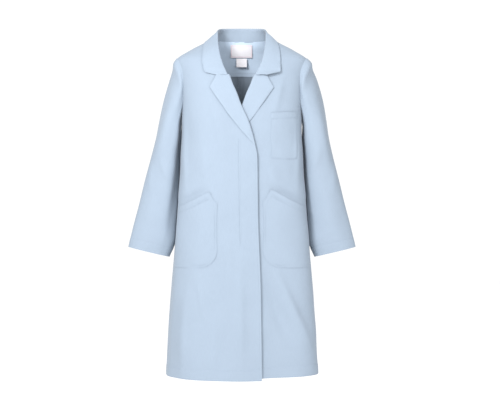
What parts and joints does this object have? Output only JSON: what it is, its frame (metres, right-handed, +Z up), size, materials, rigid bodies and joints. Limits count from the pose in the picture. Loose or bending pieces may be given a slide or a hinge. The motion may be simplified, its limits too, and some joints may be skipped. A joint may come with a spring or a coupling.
{
  "type": "lab coat",
  "caption": "Women's long lab coat with notched lapels, concealed front closure, long set-in sleeves, a chest pocket and slanted hip pockets; fronts open, sleeves lift and bend.",
  "frame": {"origin": "midway between the two shoulder-neck points, where a hanger's hook rises out of the neck opening", "axes": "+Z up, -Y out of the front, +X to the wearer's left"},
  "size_m": [0.7038, 0.237, 1.0833],
  "materials": {
    "body_cloth": "matte plain-woven cotton, pale blue",
    "collar_cloth": "matte plain-woven cotton, pale blue, two layers pressed flat",
    "facing_cloth": "matte plain-woven cotton, the cloth's inner side",
    "label_tape": "satin woven tape, off-white, blank",
    "tag_tape": "satin woven tape, off-white, blank",
    "button_plastic": "semi-gloss moulded resin"
  },
  "bodies": {
    "torso": {"back_panel_left": "body_cloth", "back_panel_right": "body_cloth", "left_front_upper": "body_cloth", "right_front_upper": "body_cloth", "chest_pocket": "body_cloth", "left_lapel": "collar_cloth", "right_lapel": "collar_cloth", "top_collar": "collar_cloth", "under_collar": "facing_cloth", "back_neck_facing": "facing_cloth", "neck_label": "label_tape", "button_1": "button_plastic"},
    "right_front": {"right_front_lower": "body_cloth", "right_front_facing": "facing_cloth", "right_fly_strip": "facing_cloth", "right_hip_pocket": "body_cloth"},
    "left_front": {"left_front_lower": "body_cloth", "left_front_facing": "facing_cloth", "left_hip_pocket": "body_cloth", "button_2": "button_plastic", "button_3": "button_plastic", "button_4": "button_plastic", "button_5": "button_plastic"},
    "right_upper_sleeve": {"right_sleeve_upper": "body_cloth"},
    "right_lower_sleeve": {"right_sleeve_lower": "body_cloth"},
    "left_upper_sleeve": {"left_sleeve_upper": "body_cloth"},
    "left_lower_sleeve": {"left_sleeve_lower": "body_cloth"},
    "size_tag": {"size_tag": "tag_tape"}
  },
  "joints": [
    {"name": "right_front_opens", "type": "hinge", "parent": "torso", "child": "right_front", "pos_m": [-0.1919, -0.02, -0.372], "axis": [-0.0662, 0, -0.9978], "range_deg": [0, 40]},
    {"name": "left_front_opens", "type": "hinge", "parent": "torso", "child": "left_front", "pos_m": [0.1919, -0.02, -0.372], "axis": [-0.0662, 0, 0.9978], "range_deg": [0, 22]},
    {"name": "right_sleeve_lifts", "type": "hinge", "parent": "torso", "child": "right_upper_sleeve", "pos_m": [-0.206, 0.008, -0.053], "axis": [0, 1, 0], "range_deg": [0, 30]},
    {"name": "left_sleeve_lifts", "type": "hinge", "parent": "torso", "child": "left_upper_sleeve", "pos_m": [0.206, 0.008, -0.053], "axis": [0, -1, 0], "range_deg": [0, 30]},
    {"name": "right_elbow_bends", "type": "hinge", "parent": "right_upper_sleeve", "child": "right_lower_sleeve", "pos_m": [-0.2515, -0.0485, -0.4022], "axis": [-0.9724, 0, 0.2334], "range_deg": [0, 70], "stiffness_Nm_per_rad": 0.4, "springref_deg": -6.88},
    {"name": "left_elbow_bends", "type": "hinge", "parent": "left_upper_sleeve", "child": "left_lower_sleeve", "pos_m": [0.2515, -0.0485, -0.4022], "axis": [-0.9724, 0, -0.2334], "range_deg": [0, 70], "stiffness_Nm_per_rad": 0.4, "springref_deg": -6.88},
    {"name": "size_tag_flips", "type": "hinge", "parent": "torso", "child": "size_tag", "pos_m": [-0.0015, 0.06696, -0.0378], "axis": [-1, 0, 0], "range_deg": [0, 140]}
  ],
  "couplings": [
    {"joint": "left_front_opens", "follows": "right_front_opens", "ratio": 0.55}
  ]
}
